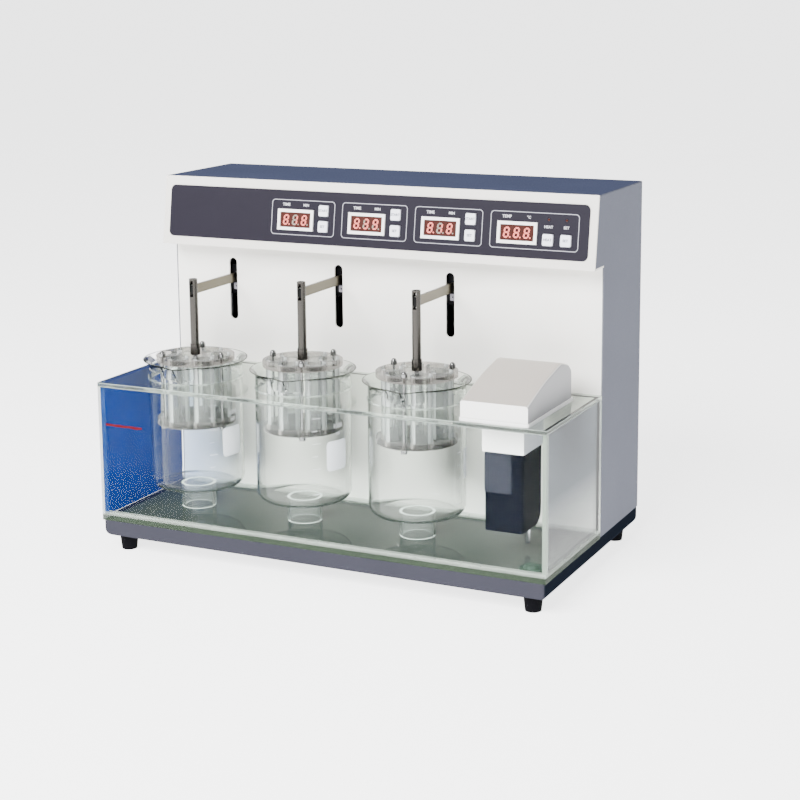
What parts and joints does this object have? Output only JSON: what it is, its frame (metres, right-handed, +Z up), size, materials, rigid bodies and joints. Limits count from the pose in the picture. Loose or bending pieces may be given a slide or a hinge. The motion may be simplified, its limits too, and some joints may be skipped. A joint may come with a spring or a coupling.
{
  "type": "tablet disintegration tester",
  "caption": "Bench tester that raises and lowers baskets of open glass tubes inside beakers that stand in a clear heated water bath.",
  "frame": {"origin": "middle of the outline, on the plane the feet stand on", "axes": "+X to the right along the front, +Y to the back, +Z up"},
  "size_m": [0.532, 0.292, 0.409],
  "materials": {
    "base_paint": "satin powder coat",
    "cover_paint": "satin powder coat",
    "panel_paint": "satin powder coat",
    "zinc_steel": "zinc plated",
    "film": "printed film",
    "white_frame": "moulded",
    "display": "smoked window",
    "board": "soldered board",
    "keycap": "moulded",
    "black_plastic": "moulded",
    "rocker": "moulded",
    "supply": "anodised",
    "motor": "enamel",
    "ground_rod": "ground",
    "pinion_brass": "machined",
    "nylon": "moulded",
    "arm_steel": "brushed",
    "hanger_steel": "polished",
    "clear_acrylic": "polished",
    "tank_acrylic": "polished",
    "blue_acrylic": "polished",
    "beaker_glass": "polished",
    "tube_glass": "polished",
    "fitting_steel": "polished",
    "foot_rubber": "moulded",
    "plug_plastic": "moulded",
    "white_plastic": "moulded",
    "smoked_plastic": "smoked",
    "hood_grey": "satin"
  },
  "bodies": {
    "cabinet_and_tank": {"base_tray": "base_paint", "base_deck": "zinc_steel", "rubber_feet": "foot_rubber", "outer_cover": "cover_paint", "front_panel": "panel_paint", "rear_panel": "cover_paint", "head_fascia": "panel_paint", "control_overlay": "film", "display_bezels": "white_frame", "display_modules": "display", "control_board": "board", "power_entry": "black_plastic", "accessory_sockets": "black_plastic", "power_supply": "supply", "drive_frame": "zinc_steel", "guide_rods": "ground_rod", "gear_motors": "motor", "tank_panes": "tank_acrylic", "tank_left_wall": "blue_acrylic", "tank_cover": "tank_acrylic", "beaker_stands": "clear_acrylic", "beaker_1": "beaker_glass", "beaker_2": "beaker_glass", "beaker_3": "beaker_glass", "drain_plug": "plug_plastic", "unit_lip": "white_plastic", "pump_neck": "white_plastic", "filter_box": "smoked_plastic", "heater_and_probe": "ground_rod"},
    "carriage_1": {"slide_block_1": "nylon", "lift_arm_1": "arm_steel"},
    "basket_1": {"hanger_rod_1": "hanger_steel", "basket_plates_1": "clear_acrylic", "basket_tubes_1": "tube_glass", "basket_fittings_1": "fitting_steel"},
    "pinion_1": {"lift_pinion_1": "pinion_brass"},
    "carriage_2": {"slide_block_2": "nylon", "lift_arm_2": "arm_steel"},
    "basket_2": {"hanger_rod_2": "hanger_steel", "basket_plates_2": "clear_acrylic", "basket_tubes_2": "tube_glass", "basket_fittings_2": "fitting_steel"},
    "pinion_2": {"lift_pinion_2": "pinion_brass"},
    "carriage_3": {"slide_block_3": "nylon", "lift_arm_3": "arm_steel"},
    "basket_3": {"hanger_rod_3": "hanger_steel", "basket_plates_3": "clear_acrylic", "basket_tubes_3": "tube_glass", "basket_fittings_3": "fitting_steel"},
    "pinion_3": {"lift_pinion_3": "pinion_brass"},
    "timer_1_start_key": {"timer_1_start_key": "keycap"},
    "timer_1_set_key": {"timer_1_set_key": "keycap"},
    "timer_2_start_key": {"timer_2_start_key": "keycap"},
    "timer_2_set_key": {"timer_2_set_key": "keycap"},
    "timer_3_start_key": {"timer_3_start_key": "keycap"},
    "timer_3_set_key": {"timer_3_set_key": "keycap"},
    "bath_heat_key": {"bath_heat_key": "keycap"},
    "bath_set_key": {"bath_set_key": "keycap"},
    "mains_rocker": {"mains_rocker": "rocker"},
    "unit_hood": {"unit_hood": "hood_grey"}
  },
  "joints": [
    {"name": "lift_1", "type": "slide", "parent": "cabinet_and_tank", "child": "carriage_1", "axis": [0, 0, 1], "range_m": [-0.04048, 0.01452]},
    {"name": "unhook_1", "type": "slide", "parent": "carriage_1", "child": "basket_1", "axis": [0, 0, 1], "range_m": [0, 0.0026]},
    {"name": "pinion_1_turn", "type": "hinge", "parent": "cabinet_and_tank", "child": "pinion_1", "pos_m": [-0.141, 0.042, 0.2545], "axis": [0, 1, 0], "range_deg": [-172.3, 62.1]},
    {"name": "lift_2", "type": "slide", "parent": "cabinet_and_tank", "child": "carriage_2", "axis": [0, 0, 1], "range_m": [-0.04631, 0.00869]},
    {"name": "unhook_2", "type": "slide", "parent": "carriage_2", "child": "basket_2", "axis": [0, 0, 1], "range_m": [0, 0.0026]},
    {"name": "pinion_2_turn", "type": "hinge", "parent": "cabinet_and_tank", "child": "pinion_2", "pos_m": [-0.003, 0.042, 0.2545], "axis": [0, 1, 0], "range_deg": [-197, 37.4]},
    {"name": "lift_3", "type": "slide", "parent": "cabinet_and_tank", "child": "carriage_3", "axis": [0, 0, 1], "range_m": [-0.04631, 0.00869]},
    {"name": "unhook_3", "type": "slide", "parent": "carriage_3", "child": "basket_3", "axis": [0, 0, 1], "range_m": [0, 0.0026]},
    {"name": "pinion_3_turn", "type": "hinge", "parent": "cabinet_and_tank", "child": "pinion_3", "pos_m": [0.135, 0.042, 0.2545], "axis": [0, 1, 0], "range_deg": [-197, 37.4]},
    {"name": "timer_1_start_key_press", "type": "slide", "parent": "cabinet_and_tank", "child": "timer_1_start_key", "axis": [0, 0.9884, -0.1521], "range_m": [0, 0.001], "stiffness_N_per_m": 300},
    {"name": "timer_1_set_key_press", "type": "slide", "parent": "cabinet_and_tank", "child": "timer_1_set_key", "axis": [0, 0.9884, -0.1521], "range_m": [0, 0.001], "stiffness_N_per_m": 300},
    {"name": "timer_2_start_key_press", "type": "slide", "parent": "cabinet_and_tank", "child": "timer_2_start_key", "axis": [0, 0.9884, -0.1521], "range_m": [0, 0.001], "stiffness_N_per_m": 300},
    {"name": "timer_2_set_key_press", "type": "slide", "parent": "cabinet_and_tank", "child": "timer_2_set_key", "axis": [0, 0.9884, -0.1521], "range_m": [0, 0.001], "stiffness_N_per_m": 300},
    {"name": "timer_3_start_key_press", "type": "slide", "parent": "cabinet_and_tank", "child": "timer_3_start_key", "axis": [0, 0.9884, -0.1521], "range_m": [0, 0.001], "stiffness_N_per_m": 300},
    {"name": "timer_3_set_key_press", "type": "slide", "parent": "cabinet_and_tank", "child": "timer_3_set_key", "axis": [0, 0.9884, -0.1521], "range_m": [0, 0.001], "stiffness_N_per_m": 300},
    {"name": "bath_heat_key_press", "type": "slide", "parent": "cabinet_and_tank", "child": "bath_heat_key", "axis": [0, 0.9884, -0.1521], "range_m": [0, 0.001], "stiffness_N_per_m": 300},
    {"name": "bath_set_key_press", "type": "slide", "parent": "cabinet_and_tank", "child": "bath_set_key", "axis": [0, 0.9884, -0.1521], "range_m": [0, 0.001], "stiffness_N_per_m": 300},
    {"name": "mains_rocker_tilt", "type": "hinge", "parent": "cabinet_and_tank", "child": "mains_rocker", "pos_m": [-0.2, 0.14, 0.124], "axis": [1, 0, 0], "range_deg": [-16, 0]},
    {"name": "hood_lift_off", "type": "slide", "parent": "cabinet_and_tank", "child": "unit_hood", "axis": [0, 0, 1], "range_m": [0, 0.09]}
  ],
  "couplings": [
    {"joint": "pinion_1_turn", "follows": "lift_1", "rad_per_m": 74.074},
    {"joint": "pinion_2_turn", "follows": "lift_2", "rad_per_m": 74.074},
    {"joint": "pinion_3_turn", "follows": "lift_3", "rad_per_m": 74.074}
  ]
}
